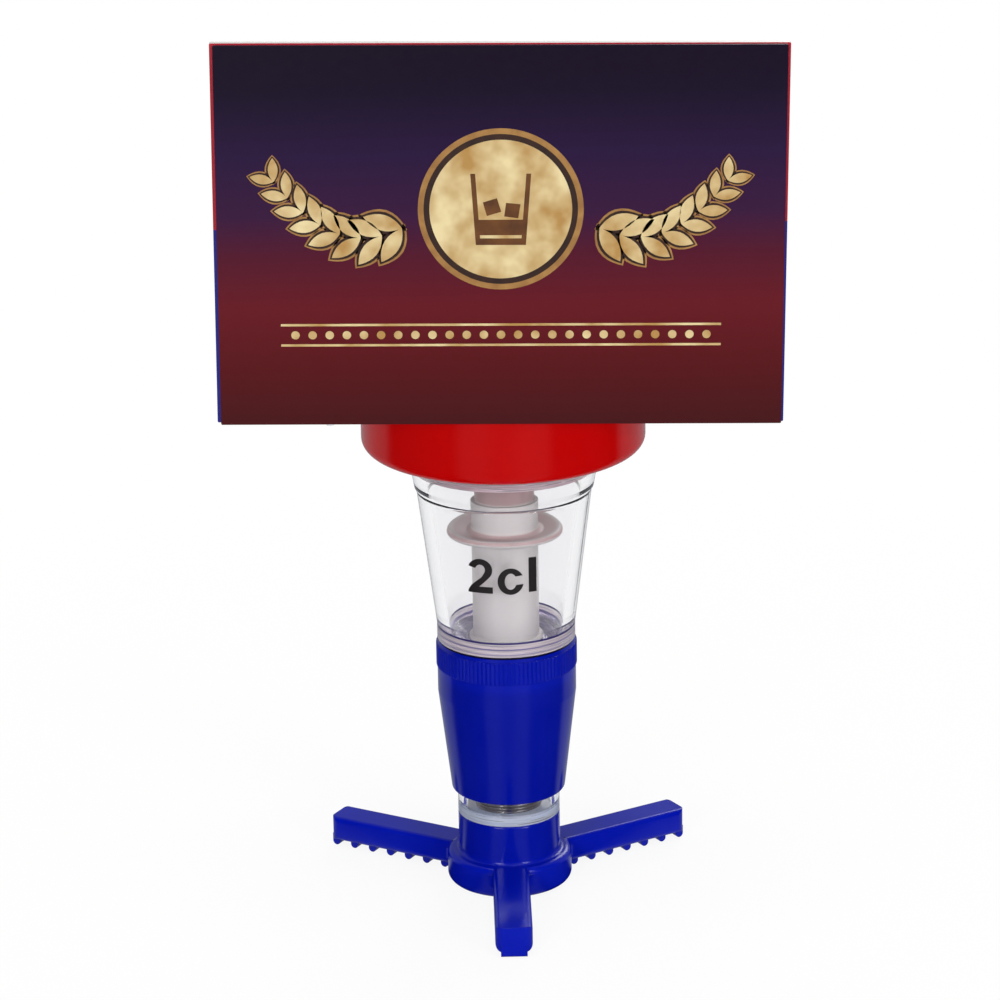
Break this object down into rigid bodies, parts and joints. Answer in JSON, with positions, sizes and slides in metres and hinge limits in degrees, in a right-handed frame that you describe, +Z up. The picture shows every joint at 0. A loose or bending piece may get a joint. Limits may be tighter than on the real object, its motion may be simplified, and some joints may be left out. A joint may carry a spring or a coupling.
{
  "type": "measured spirit pourer",
  "caption": "Upside-down bottle pourer: red collar with sign, clear measuring chamber with a sliding spindle valve, blue screw sleeve, and a sprung lifter hub with toothed arms.",
  "frame": {"origin": "middle of the outlet's mouth, in the surface that the arms stand on", "axes": "+Z up along the pourer's axis, away from the outlet; -Y towards the viewer, the way the sign faces; +X to the viewer's right"},
  "size_m": [0.1204, 0.0766, 0.2014],
  "materials": {
    "blue_plastic": "glossy injection-moulded blue plastic",
    "red_plastic": "glossy injection-moulded red plastic",
    "clear_plastic": "clear moulded styrene, polished",
    "white_plastic": "off-white moulded acetal, satin",
    "steel": "drawn stainless steel",
    "dark_rubber": "dark nitrile rubber",
    "pale_rubber": "pale food-grade silicone rubber",
    "white_foam": "closed-cell foam tape",
    "plate_board": "white-cored board printed red above and blue below",
    "clear_adhesive": "clear adhesive",
    "printed_card": "laminated printed card, dark purple to maroon"
  },
  "bodies": {
    "measure": {"sleeve": "blue_plastic", "base_gasket": "pale_rubber", "chamber": "clear_plastic", "chamber_gasket": "pale_rubber", "chamber_lid": "clear_plastic", "inlet_tube": "white_plastic", "inlet_seal": "pale_rubber", "collar": "red_plastic", "stopper": "pale_rubber", "sign_clip": "red_plastic", "foam_pads": "white_foam", "sign_plate": "plate_board", "adhesive_dots": "clear_adhesive", "sign_card": "printed_card", "spring_seat": "steel", "return_spring": "steel"},
    "lifter": {"hub": "blue_plastic", "spindle_screw": "steel", "slider_tube": "clear_plastic", "spindle": "white_plastic", "outlet_ring": "dark_rubber"}
  },
  "joints": [
    {"name": "lift", "type": "slide", "parent": "measure", "child": "lifter", "axis": [0, 0, 1], "range_m": [0, 0.0055], "stiffness_N_per_m": 500, "springref_m": -0.01, "deforming": ["return_spring"]}
  ]
}
